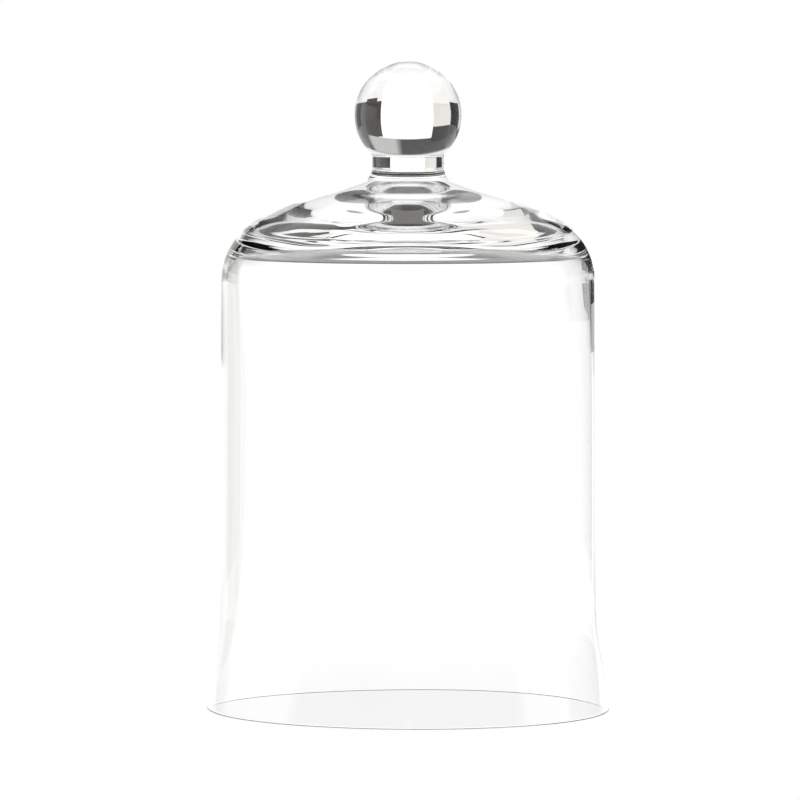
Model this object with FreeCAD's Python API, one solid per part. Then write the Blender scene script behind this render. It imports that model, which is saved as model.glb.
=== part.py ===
"""Glass bell jar dome: a blown cloche with a thick crown, a short neck and a solid ball knob.

Millimetres, +Z up along the dome's axis. The origin is the centre of the circle that the lip
stands on. The three gathers of glass are separate solids that meet face to face.
"""
import FreeCAD, Part
import math
import os

V = FreeCAD.Vector
AXIS_POINT = V(0, 0, 0)
AXIS_UP = V(0, 0, 1)

# Driving dimensions
HEIGHT = 304.8            # lip to the top of the knob
KNOB_DIAMETER = 50.4      # solid ball knob
NECK_DIAMETER = 33.8      # short neck under the knob
NECK_BASE_Z = 255.2       # where the neck is joined to the crown
WALL_DIAMETER = 176.6     # straight wall, at its foot
SHOULDER_DIAMETER = 175.0  # straight wall, at the shoulder
LIP_DIAMETER = 189.6      # flared lip, outside, before its edge is rounded
SHOULDER_THICKNESS = 3.0  # the wall thins from the shoulder
FLARE_THICKNESS = 2.2     # to where the flare starts
LIP_THICKNESS = 1.8       # and to the lip

# Heights of the outline's corners, before they are rounded
NECK_FOOT_Z = 250.3
CROWN_KNEE_Z = 241.6
SHOULDER_Z = 223.2
FLARE_Z = 41.0
CEILING_CORNER_Z = 218.5
CEILING_SIDE_Z = 224.6
CEILING_MIDDLE_Z = 235.0
CEILING_CROWN_Z = 238.0
CEILING_APEX_Z = 238.5

# Radii that round those corners
NECK_FILLET = 6.0
CROWN_KNEE_ROUND = 90.0
SHOULDER_ROUND = 33.0
FLARE_ROUND = 150.0
CEILING_CORNER_ROUND = 18.0
CEILING_SIDE_ROUND = 150.0
CEILING_MIDDLE_ROUND = 100.0
CEILING_CROWN_ROUND = 60.0
LIP_EDGE_ROUND = 0.5

# Sideways places of the crown's and the ceiling's corners
CROWN_KNEE_RADIUS = 47.0
CEILING_SIDE_RADIUS = 60.0
CEILING_MIDDLE_RADIUS = 26.0
CEILING_CROWN_RADIUS = 12.0

# Worked out from the above
KNOB_RADIUS = KNOB_DIAMETER / 2
NECK_RADIUS = NECK_DIAMETER / 2
WALL_RADIUS = WALL_DIAMETER / 2
SHOULDER_RADIUS = SHOULDER_DIAMETER / 2
LIP_RADIUS = LIP_DIAMETER / 2
KNOB_CENTRE_Z = HEIGHT - KNOB_RADIUS
KNOB_BASE_Z = KNOB_CENTRE_Z - math.sqrt(KNOB_RADIUS ** 2 - NECK_RADIUS ** 2)


def section_point(radius, z):
    """A point of the XZ half section."""
    return V(radius, 0, z)


def corner_arc(before, corner, after, radius):
    """The arc that rounds a corner, tangent to the straight runs on both sides of it."""
    to_before = (before - corner).normalize()
    to_after = (after - corner).normalize()
    half_angle = to_before.getAngle(to_after) / 2
    run = radius / math.tan(half_angle)
    middle = (to_before + to_after).normalize()
    depth = radius / math.sin(half_angle) - radius
    start = corner + to_before * run
    end = corner + to_after * run
    return Part.Arc(start, corner + middle * depth, end)


def rounded_outline(corners):
    """A closed wire through (radius, z, rounding) corners; a rounding of 0 stays sharp."""
    points = [section_point(radius, z) for radius, z, _ in corners]
    arcs = []
    for i, (_, _, rounding) in enumerate(corners):
        before = points[i - 1]
        after = points[(i + 1) % len(points)]
        arcs.append(corner_arc(before, points[i], after, rounding) if rounding else None)
    edges = []
    for i, arc in enumerate(arcs):
        following = (i + 1) % len(arcs)
        if arc:
            edges.append(arc.toShape())
        run_start = arc.EndPoint if arc else points[i]
        run_end = arcs[following].StartPoint if arcs[following] else points[following]
        edges.append(Part.LineSegment(run_start, run_end).toShape())
    return Part.Wire(edges)


def revolved(wire):
    """The solid of revolution of a closed half section."""
    return Part.Face(wire).revolve(AXIS_POINT, AXIS_UP, 360)


def dome_shell():
    """The blown bell: thick sloping crown, straight wall and flared, fire-polished lip."""
    outside = [
        (0, NECK_BASE_Z, 0),
        (NECK_RADIUS, NECK_BASE_Z, 0),
        (NECK_RADIUS, NECK_FOOT_Z, NECK_FILLET),
        (CROWN_KNEE_RADIUS, CROWN_KNEE_Z, CROWN_KNEE_ROUND),
        (SHOULDER_RADIUS, SHOULDER_Z, SHOULDER_ROUND),
        (WALL_RADIUS, FLARE_Z, FLARE_ROUND),
        (LIP_RADIUS, 0, LIP_EDGE_ROUND),
    ]
    inside = [
        (LIP_RADIUS - LIP_THICKNESS, 0, LIP_EDGE_ROUND),
        (WALL_RADIUS - FLARE_THICKNESS, FLARE_Z, FLARE_ROUND),
        (SHOULDER_RADIUS - SHOULDER_THICKNESS, CEILING_CORNER_Z, CEILING_CORNER_ROUND),
        (CEILING_SIDE_RADIUS, CEILING_SIDE_Z, CEILING_SIDE_ROUND),
        (CEILING_MIDDLE_RADIUS, CEILING_MIDDLE_Z, CEILING_MIDDLE_ROUND),
        (CEILING_CROWN_RADIUS, CEILING_CROWN_Z, CEILING_CROWN_ROUND),
        (0, CEILING_APEX_Z, 0),
    ]
    return revolved(rounded_outline(outside + inside))


def knob_neck():
    """The short neck between the crown and the knob."""
    return Part.makeCylinder(NECK_RADIUS, KNOB_BASE_Z - NECK_BASE_Z, V(0, 0, NECK_BASE_Z), AXIS_UP)


def knob_ball():
    """The solid ball, flat where it sits on the neck."""
    base = section_point(0, KNOB_BASE_Z)
    rim = section_point(NECK_RADIUS, KNOB_BASE_Z)
    side = section_point(KNOB_RADIUS, KNOB_CENTRE_Z)
    top = section_point(0, HEIGHT)
    edges = [
        Part.LineSegment(base, rim).toShape(),
        Part.Arc(rim, side, top).toShape(),
        Part.LineSegment(top, base).toShape(),
    ]
    return revolved(Part.Wire(edges))


NODES = {
    "dome_shell": dome_shell,
    "knob_neck": knob_neck,
    "knob_ball": knob_ball,
}

os.makedirs("parts", exist_ok=True)
for node, make in NODES.items():
    make().exportStep(f"parts/{node}.step")
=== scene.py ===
"""Looks of the glass bell jar dome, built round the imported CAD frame. Metres, +Z up."""
import math
import bmesh
import bpy
import numpy as np
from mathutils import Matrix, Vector, noise


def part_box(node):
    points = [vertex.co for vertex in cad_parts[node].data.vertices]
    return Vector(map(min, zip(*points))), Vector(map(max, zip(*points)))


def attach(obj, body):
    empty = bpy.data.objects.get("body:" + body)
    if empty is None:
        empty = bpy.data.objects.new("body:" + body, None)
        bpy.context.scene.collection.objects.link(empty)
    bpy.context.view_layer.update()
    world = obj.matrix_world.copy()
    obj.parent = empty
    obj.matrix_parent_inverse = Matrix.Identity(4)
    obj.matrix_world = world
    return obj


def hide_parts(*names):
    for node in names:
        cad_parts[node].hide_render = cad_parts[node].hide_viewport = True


MM = 0.001
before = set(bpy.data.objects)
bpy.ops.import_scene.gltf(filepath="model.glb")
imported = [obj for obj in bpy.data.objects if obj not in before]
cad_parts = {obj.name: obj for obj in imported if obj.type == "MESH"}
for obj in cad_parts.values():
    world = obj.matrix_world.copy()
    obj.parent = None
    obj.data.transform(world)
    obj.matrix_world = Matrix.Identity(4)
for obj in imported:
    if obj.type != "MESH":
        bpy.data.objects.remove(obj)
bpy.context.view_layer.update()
shell_low, shell_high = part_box("dome_shell")
neck_low, neck_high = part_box("knob_neck")
ball_low, ball_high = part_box("knob_ball")

# Sizes read from the frame
TOP_Z = ball_high.z
BALL_RADIUS = (ball_high.x - ball_low.x) / 2
BALL_Z = TOP_Z - BALL_RADIUS
NECK_RADIUS = (neck_high.x - neck_low.x) / 2
NECK_BASE_Z = neck_low.z
NECK_TOP_Z = neck_high.z
LIP_RADIUS = (shell_high.x - shell_low.x) / 2

# The bell's outline, as in the frame
NECK_FOOT_Z = NECK_BASE_Z - 4.9 * MM
KNEE = (47 * MM, NECK_BASE_Z - 13.6 * MM)
SHOULDER = (LIP_RADIUS - 7.2 * MM, NECK_BASE_Z - 32 * MM)
FLARE = (LIP_RADIUS - 6.4 * MM, 41 * MM)
LIP_THICKNESS = 1.8 * MM
FLARE_THICKNESS = 2.2 * MM
SHOULDER_THICKNESS = 3.0 * MM
CEILING_CORNER = (SHOULDER[0] - SHOULDER_THICKNESS, NECK_BASE_Z - 36.7 * MM)
CEILING_SIDE = (60 * MM, NECK_BASE_Z - 30.6 * MM)
CEILING_MIDDLE = (26 * MM, NECK_BASE_Z - 20.2 * MM)
CEILING_CROWN = (12 * MM, NECK_BASE_Z - 17.2 * MM)
CEILING_APEX = (0, NECK_BASE_Z - 16.7 * MM)

# Radii that round the outline's corners
NECK_FILLET = 6 * MM
KNEE_ROUND = 90 * MM
SHOULDER_ROUND = 33 * MM
FLARE_ROUND = 150 * MM
CEILING_CORNER_ROUND = 18 * MM
CEILING_SIDE_ROUND = 150 * MM
CEILING_MIDDLE_ROUND = 100 * MM
CEILING_CROWN_ROUND = 60 * MM
SEAM_ROUND = 0.8 * MM

# The hollow's place off the axis, as the glass was blown, and the lip's rise on its left
LIP_LIFT = 1.0 * MM
HOLLOW_SHIFT = 1.2 * MM
HOLLOW_FOOT_Z = 95 * MM
HOLLOW_TOP_Z = 214 * MM
HOLLOW_FADE = 70 * MM

# How far, and over what distance, hand-blown glass strays from a true body of revolution
WAVER = 0.25 * MM
WAVER_SCALE = 90 * MM

# Details of the joints between the gathers, which the frame leaves plain
KNOB_ROOT_RADIUS = NECK_RADIUS + 1.5 * MM
KNOB_ROOT_ROUND = 2.5 * MM
SEAM_DEPTH = 0.08 * MM
SEAM_WIDTH = 0.7 * MM

SEGMENTS = 288
FINE_STEP = 1.0 * MM


# ---------------------------------------------------------------- outlines

def arc(centre, radius, start, end, count=24):
    """Points of an arc; the angles are in degrees."""
    angles = np.radians(np.linspace(start, end, count))
    return [(centre[0] + radius * math.cos(a), centre[1] + radius * math.sin(a)) for a in angles]


def corner_arc(before, corner, after, radius, count=20):
    """Points of the arc that rounds a corner, tangent to both straight runs."""
    corner = Vector(corner)
    to_before = (Vector(before) - corner).normalized()
    to_after = (Vector(after) - corner).normalized()
    half = to_before.angle(to_after) / 2
    middle = (to_before + to_after).normalized()
    centre = corner + middle * (radius / math.sin(half))
    start = corner + to_before * (radius / math.tan(half)) - centre
    end = corner + to_after * (radius / math.tan(half)) - centre
    turn = start.angle_signed(end)
    points = []
    for share in np.linspace(0, 1, count):
        angle = math.atan2(start.y, start.x) - turn * share
        points.append((centre.x + radius * math.cos(angle), centre.y + radius * math.sin(angle)))
    return points


def rounded(corners):
    """A polyline through (radius, z, rounding) corners."""
    points = [corners[0][:2]]
    for before, corner, after in zip(corners, corners[1:], corners[2:]):
        if corner[2]:
            points += corner_arc(before[:2], corner[:2], after[:2], corner[2])
        else:
            points.append(corner[:2])
    return points + [corners[-1][:2]]


def divided(points, step):
    """The same polyline with no run longer than step."""
    out = [points[0]]
    for a, b in zip(points, points[1:]):
        count = max(1, math.ceil(math.dist(a, b) / step))
        out += [(a[0] + (b[0] - a[0]) * k / count, a[1] + (b[1] - a[1]) * k / count)
                for k in range(1, count + 1)]
    return out


# ---------------------------------------------------------------- hand-made waver

def smooth_step(share):
    """0 below 0, 1 above 1 and smooth between."""
    share = min(max(share, 0), 1)
    return share * share * (3 - 2 * share)


def smooth_noise(point, scale, seed):
    """Two numbers between about -1 and 1 that change smoothly over scale."""
    p = Vector(point) / scale + Vector((seed, 0, 0))
    return Vector((noise.noise(p), noise.noise(p + Vector((5, 7, 9))), 0))


def waver(point, inside):
    """Where a point of a true body of revolution ends up in the blown glass.

    All of the glass strays a little sideways, and the lip is a little out of square. The hollow
    also sits off centre, so that the wall is thicker on one side, except at the lip and from
    the shoulder up.
    """
    moved = Vector(point) + smooth_noise(point, WAVER_SCALE, 0) * WAVER
    moved.z += LIP_LIFT * (1 - point[0] / LIP_RADIUS) / 2 * (1 - smooth_step(point[2] / FLARE[1]))
    if inside:
        from_lip = smooth_step(point[2] / HOLLOW_FOOT_Z)
        from_shoulder = smooth_step((HOLLOW_TOP_Z - point[2]) / HOLLOW_FADE)
        moved.x += HOLLOW_SHIFT * (from_lip * from_shoulder)
    return moved


def build_mesh(name, outline, seam_heights, materials, inside_from=None):
    """A closed body of revolution from an outline that starts and ends on the axis.

    Flat end faces at seam_heights are where gathers are fused: they get the second material. The
    outline's points from inside_from on are the hollow's.
    """
    verts = []
    rings = []
    for i, (radius, z) in enumerate(outline):
        inside = inside_from is not None and i >= inside_from
        if radius < 1e-7:
            rings.append([len(verts)])
            verts.append(waver((0, 0, z), inside))
            continue
        rings.append(list(range(len(verts), len(verts) + SEGMENTS)))
        for k in range(SEGMENTS):
            a = 2 * math.pi * k / SEGMENTS
            verts.append(waver((radius * math.cos(a), radius * math.sin(a), z), inside))
    faces = []
    fused = []
    for (lower, upper), (p, q) in zip(zip(rings, rings[1:]), zip(outline, outline[1:])):
        flat = abs(p[1] - q[1]) < 1e-9 and any(abs(p[1] - z) < 1e-6 for z in seam_heights)
        for k in range(SEGMENTS):
            n = (k + 1) % SEGMENTS
            if len(lower) == 1:
                faces.append((lower[0], upper[k], upper[n]))
            elif len(upper) == 1:
                faces.append((lower[k], upper[0], lower[n]))
            else:
                faces.append((lower[k], upper[k], upper[n], lower[n]))
            fused.append(flat)
    mesh = bpy.data.meshes.new(name)
    mesh.from_pydata(verts, [], faces)
    for material in materials:
        mesh.materials.append(material)
    mesh.polygons.foreach_set("material_index", [int(f) for f in fused])
    bm = bmesh.new()
    bm.from_mesh(mesh)
    bmesh.ops.recalc_face_normals(bm, faces=bm.faces)
    for edge in bm.edges:
        sides = {f.material_index for f in edge.link_faces}
        edge.smooth = len(sides) == 1
    for face in bm.faces:
        face.smooth = True
    bm.to_mesh(mesh)
    bm.free()
    piece = bpy.data.objects.new(name, mesh)
    bpy.context.scene.collection.objects.link(piece)
    return piece


# ---------------------------------------------------------------- materials

def clear_glass(name, tint, streak_scale, ripple):
    """Clear glass with faint cords of denser glass and a faint fire-polished ripple."""
    material = bpy.data.materials.new(name)
    material.use_nodes = True
    tree = material.node_tree
    shader = tree.nodes["Principled BSDF"]
    shader.inputs["Transmission Weight"].default_value = 1
    shader.inputs["Roughness"].default_value = 0
    shader.inputs["IOR"].default_value = 1.5
    place = tree.nodes.new("ShaderNodeTexCoord")
    stretch = tree.nodes.new("ShaderNodeMapping")
    stretch.inputs["Scale"].default_value = (1, 1, 0.35)
    tree.links.new(place.outputs["Object"], stretch.inputs["Vector"])
    cords = tree.nodes.new("ShaderNodeTexNoise")
    cords.inputs["Scale"].default_value = streak_scale
    cords.inputs["Detail"].default_value = 2
    tree.links.new(stretch.outputs["Vector"], cords.inputs["Vector"])
    colour = tree.nodes.new("ShaderNodeValToRGB")
    colour.color_ramp.elements[0].position = 0.35
    colour.color_ramp.elements[0].color = (*tint, 1)
    colour.color_ramp.elements[1].position = 0.65
    colour.color_ramp.elements[1].color = (1, 1, 1, 1)
    tree.links.new(cords.outputs["Fac"], colour.inputs["Fac"])
    tree.links.new(colour.outputs["Color"], shader.inputs["Base Color"])
    polish = tree.nodes.new("ShaderNodeBump")
    polish.inputs["Strength"].default_value = ripple
    polish.inputs["Distance"].default_value = 0.02 * MM
    tree.links.new(cords.outputs["Fac"], polish.inputs["Height"])
    tree.links.new(polish.outputs["Normal"], shader.inputs["Normal"])
    return material


def fused_joint():
    """Inside a hot joint there is no surface, so light passes straight through."""
    material = bpy.data.materials.new("fused_joint")
    material.use_nodes = True
    tree = material.node_tree
    tree.nodes.clear()
    out = tree.nodes.new("ShaderNodeOutputMaterial")
    clear = tree.nodes.new("ShaderNodeBsdfTransparent")
    tree.links.new(clear.outputs[0], out.inputs["Surface"])
    return material


# ---------------------------------------------------------------- pieces

def bell_outline():
    """The bell's outline, and the number of its points before the hollow's begin."""
    outside = rounded([
        (NECK_RADIUS - SEAM_DEPTH, NECK_BASE_Z, 0),
        (NECK_RADIUS, NECK_BASE_Z - SEAM_WIDTH, SEAM_ROUND),
        (NECK_RADIUS, NECK_FOOT_Z, NECK_FILLET),
        (*KNEE, KNEE_ROUND),
        (*SHOULDER, SHOULDER_ROUND),
        (*FLARE, FLARE_ROUND),
        (LIP_RADIUS, LIP_THICKNESS / 2, 0),
    ])
    lip_middle = (LIP_RADIUS - LIP_THICKNESS / 2, LIP_THICKNESS / 2)
    lip = arc(lip_middle, LIP_THICKNESS / 2, 0, -180, 16)[1:-1]
    inside = rounded([
        (LIP_RADIUS - LIP_THICKNESS, LIP_THICKNESS / 2, 0),
        (FLARE[0] - FLARE_THICKNESS, FLARE[1], FLARE_ROUND),
        (*CEILING_CORNER, CEILING_CORNER_ROUND),
        (*CEILING_SIDE, CEILING_SIDE_ROUND),
        (*CEILING_MIDDLE, CEILING_MIDDLE_ROUND),
        (*CEILING_CROWN, CEILING_CROWN_ROUND),
        (*CEILING_APEX, 0),
    ])
    outer = [(0, NECK_BASE_Z)] + divided(outside + lip, FINE_STEP)
    return outer + divided(inside, FINE_STEP), len(outer)


def knob_root_z():
    """Where the rounded root of the knob has run out into the ball."""
    return BALL_Z - math.sqrt(BALL_RADIUS ** 2 - KNOB_ROOT_RADIUS ** 2)


def neck_outline():
    root_z = knob_root_z()
    side = rounded([
        (NECK_RADIUS - SEAM_DEPTH, NECK_BASE_Z, 0),
        (NECK_RADIUS, NECK_BASE_Z + SEAM_WIDTH, SEAM_ROUND),
        (NECK_RADIUS, NECK_TOP_Z, KNOB_ROOT_ROUND),
        (KNOB_ROOT_RADIUS, root_z, 0),
    ])
    return [(0, NECK_BASE_Z)] + divided(side, FINE_STEP) + [(0, root_z)]


def ball_outline():
    root_z = knob_root_z()
    start = math.degrees(math.asin((root_z - BALL_Z) / BALL_RADIUS))
    side = arc((0, BALL_Z), BALL_RADIUS, start, 90, 96)
    side[-1] = (0, TOP_Z)
    return [(0, root_z)] + side


bell_glass = clear_glass("bell_glass", (0.985, 0.992, 0.985), 18, 0.3)
knob_glass = clear_glass("knob_glass", (0.985, 0.990, 0.985), 40, 0.3)
joint = fused_joint()
bell_points, hollow_start = bell_outline()
bell = build_mesh("bell", bell_points, [NECK_BASE_Z], [bell_glass, joint], hollow_start)
neck = build_mesh("neck", neck_outline(), [NECK_BASE_Z, knob_root_z()], [knob_glass, joint])
ball = build_mesh("ball", ball_outline(), [knob_root_z()], [knob_glass, joint])
for piece, node, slot in ((bell, "dome_shell", "bell_glass"), (neck, "knob_neck", "knob_glass"),
                          (ball, "knob_ball", "knob_glass")):
    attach(piece, "root")
    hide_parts(node)


# ---------------------------------------------------------------- studio

# The table top's glow in the open, its dimmer glow inside the dome, which is a painted shadow of the
# dome, and its extent in metres
FLOOR = 1.05
FLOOR_PAINTED_DOME_SHADOW = 0.97
FLOOR_HALF_WIDTH = 2.5
FLOOR_FRONT = -3.0
FLOOR_BACK = 0.6

# The camera, in metres: where it stands, what it looks at and how wide it sees there
CAMERA_PLACE = (0, -3.635, 0.380)
CAMERA_TARGET = (-0.00375, 0, 0.1459)
CAMERA_VIEW_WIDTH = 0.3752

# Light that comes from far off: azimuth from, to; elevation from, to; soft edge; all in degrees;
# then colour. Azimuth 0 is behind the dome as the camera sees it, and 90 is to its right. Later
# ones cover earlier ones.
BACKDROP = 1.17
STUDIO = [
    ("camera_side_left", (-181, -110), (-12, 60), 8, (0.30, 0.30, 0.30)),
    ("camera_side_right", (110, 181), (-12, 60), 8, (0.30, 0.30, 0.30)),
    ("left_low", (-50, -30), (-12, 14), 8, (0.70, 0.70, 0.70)),
    ("right_low", (24, 72), (-12, 14), 4, (0.65, 0.65, 0.65)),
    ("left_window", (-106, -74), (-20, 14), 3, (BACKDROP, BACKDROP, BACKDROP)),
    ("right_window", (74, 106), (-20, 14), 3, (BACKDROP, BACKDROP, BACKDROP)),
    ("high_wall", (-181, 181), (14, 36), 4, (0.07, 0.07, 0.07)),
    ("high_wall_right", (8, 40), (14, 36), 6, (0.55, 0.55, 0.54)),
    ("ceiling_gap", (-75, 75), (56, 78), 3, (0.06, 0.055, 0.05)),
    ("backdrop", (-24, 24), (-30, 17), 1, (BACKDROP, BACKDROP, BACKDROP)),
]

# Cards that stand round the dome, hidden from the camera but seen through the glass and in it:
# distance in metres; azimuth from, to in degrees; height from, to in metres; colour. These and
# the zones above were placed so that the front view's darks and lights resemble the
# real object's, and are not plain studio light.
CARDS = [
    ("left_gap", 0.42, (-60, -38), (0.190, 0.400), (0.020, 0.021, 0.024)),
    ("left_top", 0.45, (-38, -18), (0.335, 0.440), (0.03, 0.03, 0.03)),
    ("left_panel", 0.45, (-38, -18), (0.200, 0.335), (0.84, 0.81, 0.77)),
    ("left_foot", 0.45, (-38, -18), (0.005, 0.200), (1.0, 0.985, 0.96)),
    ("right_edge", 0.45, (19.5, 31), (0.188, 0.401), (0.06, 0.050, 0.040)),
    ("right_foot", 0.45, (19.5, 31), (0.005, 0.188), (0.95, 0.95, 0.95)),
    ("right_near", 0.42, (24, 38), (0.172, 0.400), (0.05, 0.046, 0.040)),
    ("right_far", 0.42, (38, 75), (0.190, 0.400), (0.080, 0.086, 0.092)),
]


def studio_world():
    world = bpy.data.worlds.new("studio")
    bpy.context.scene.world = world
    world.use_nodes = True
    tree = world.node_tree
    tree.nodes.clear()
    link = tree.links.new

    def math_node(operation, a, b=0.0, clamp=False):
        node = tree.nodes.new("ShaderNodeMath")
        node.operation = operation
        node.use_clamp = clamp
        for socket, value in zip(node.inputs, (a, b)):
            if isinstance(value, (int, float)):
                socket.default_value = value
            else:
                link(value, socket)
        return node.outputs[0]

    def rise(angle, edge, soft):
        return math_node("ADD", math_node("DIVIDE", math_node("SUBTRACT", angle, edge), soft), 0.5, True)

    def between(angle, low, high, soft):
        return math_node("MULTIPLY", rise(angle, low, soft),
                         math_node("SUBTRACT", 1.0, rise(angle, high, soft)))

    coordinates = tree.nodes.new("ShaderNodeTexCoord")
    split = tree.nodes.new("ShaderNodeSeparateXYZ")
    link(coordinates.outputs["Generated"], split.inputs[0])
    azimuth = math_node("DEGREES", math_node("ARCTAN2", split.outputs["X"], split.outputs["Y"]))
    elevation = math_node("DEGREES", math_node("ARCSINE", split.outputs["Z"]))

    def over(factor, below, colour):
        mix = tree.nodes.new("ShaderNodeMix")
        mix.data_type = "RGBA"
        link(factor, mix.inputs["Factor"])
        for socket, value in ((mix.inputs[6], below), (mix.inputs[7], colour)):
            if isinstance(value, tuple):
                socket.default_value = (*value, 1)
            else:
                link(value, socket)
        return mix.outputs[2]

    light = (1.0, 1.0, 1.0)
    for _, (left, right), (low, high), soft, colour in STUDIO:
        inside = math_node("MULTIPLY", between(azimuth, left, right, soft),
                           between(elevation, low, high, soft))
        light = over(inside, light, colour)
    path = tree.nodes.new("ShaderNodeLightPath")
    light = over(path.outputs["Is Camera Ray"], light, (1.0, 1.0, 1.0))
    background = tree.nodes.new("ShaderNodeBackground")
    out = tree.nodes.new("ShaderNodeOutputWorld")
    link(light, background.inputs["Color"])
    link(background.outputs[0], out.inputs["Surface"])


def add_camera():
    """The camera stands 3.6 m back and 0.38 m up, with a long lens."""
    data = bpy.data.cameras.new("camera")
    camera = bpy.data.objects.new("camera", data)
    bpy.context.scene.collection.objects.link(camera)
    camera.location = CAMERA_PLACE
    target = Vector(CAMERA_TARGET)
    sight = target - camera.location
    data.sensor_width = 36
    data.lens = data.sensor_width * sight.length / CAMERA_VIEW_WIDTH
    data.clip_end = 100
    camera.rotation_euler = sight.to_track_quat("-Z", "Y").to_euler()
    bpy.context.scene.camera = camera


def glow_material(name):
    """A new material that only glows, with its node tree and the glow node."""
    material = bpy.data.materials.new(name)
    material.use_nodes = True
    tree = material.node_tree
    tree.nodes.clear()
    out = tree.nodes.new("ShaderNodeOutputMaterial")
    glow = tree.nodes.new("ShaderNodeEmission")
    tree.links.new(glow.outputs[0], out.inputs["Surface"])
    return material, tree, glow


def stage_mesh(name, corners, faces, material):
    mesh = bpy.data.meshes.new(name)
    mesh.from_pydata(corners, [], faces)
    mesh.materials.append(material)
    piece = bpy.data.objects.new(name, mesh)
    bpy.context.scene.collection.objects.link(piece)
    return piece


def add_card(name, distance, azimuths, heights, colour):
    """An upright card, bent round the dome's axis, that the camera itself does not see."""
    corners = []
    for azimuth in np.radians(np.linspace(*azimuths, 13)):
        for z in heights:
            corners.append((distance * math.sin(azimuth), distance * math.cos(azimuth), z))
    faces = [(k, k + 1, k + 3, k + 2) for k in range(0, len(corners) - 2, 2)]
    material, _, glow = glow_material(name)
    glow.inputs["Color"].default_value = (*colour, 1)
    card = stage_mesh(name, corners, faces, material)
    card.visible_camera = False


def add_floor():
    """A white table top, seen only through the glass, glowing with painted light: a painted shadow of
    the dome makes it dimmer inside the dome, painted shade makes it dimmer to the sides, and its glow
    rises towards the backdrop.
    """
    material, tree, glow = glow_material("floor")

    def range_node(value, low, high, dim, bright):
        node = tree.nodes.new("ShaderNodeMapRange")
        for socket, number in zip(node.inputs[1:5], (low, high, dim, bright)):
            socket.default_value = number
        tree.links.new(value, node.inputs["Value"])
        return node.outputs["Result"]

    def pair_node(kind, a, b):
        node = tree.nodes.new("ShaderNodeMath")
        node.operation = kind
        tree.links.new(a, node.inputs[0])
        tree.links.new(b, node.inputs[1])
        return node.outputs[0]

    place = tree.nodes.new("ShaderNodeTexCoord")
    split = tree.nodes.new("ShaderNodeSeparateXYZ")
    distance = tree.nodes.new("ShaderNodeVectorMath")
    distance.operation = "LENGTH"
    tree.links.new(place.outputs["Object"], split.inputs[0])
    tree.links.new(place.outputs["Object"], distance.inputs[0])
    sideways = pair_node("MULTIPLY", split.outputs["X"], split.outputs["X"])
    # painted shadow of the dome: the floor glows dimmer under the glass
    painted_dome_shadow = range_node(distance.outputs["Value"], 0.090, 0.110, FLOOR_PAINTED_DOME_SHADOW / FLOOR, 1)
    # painted shade: the floor glows dimmer towards the sides
    painted_side_shade = range_node(sideways, 0.015, 0.25, 1, 0.88)
    # the floor's even glow, with painted light rising to the backdrop's brightness towards the back
    even_glow_and_painted_back_light = range_node(split.outputs["Y"], 0.15, 0.6, FLOOR, BACKDROP)
    strength = pair_node("MULTIPLY", pair_node("MULTIPLY", painted_dome_shadow, painted_side_shade), even_glow_and_painted_back_light)
    tree.links.new(strength, glow.inputs["Strength"])
    corners = [
        (-FLOOR_HALF_WIDTH, FLOOR_FRONT, 0),
        (FLOOR_HALF_WIDTH, FLOOR_FRONT, 0),
        (FLOOR_HALF_WIDTH, FLOOR_BACK, 0),
        (-FLOOR_HALF_WIDTH, FLOOR_BACK, 0),
    ]
    floor = stage_mesh("floor", corners, [(0, 1, 2, 3)], material)
    floor.visible_camera = False


studio_world()
add_camera()
add_floor()
for card in CARDS:
    add_card(*card)
scene = bpy.context.scene
scene.view_settings.view_transform = "Standard"
scene.cycles.max_bounces = 24
scene.cycles.transmission_bounces = 24
scene.cycles.glossy_bounces = 16
scene.cycles.transparent_max_bounces = 32
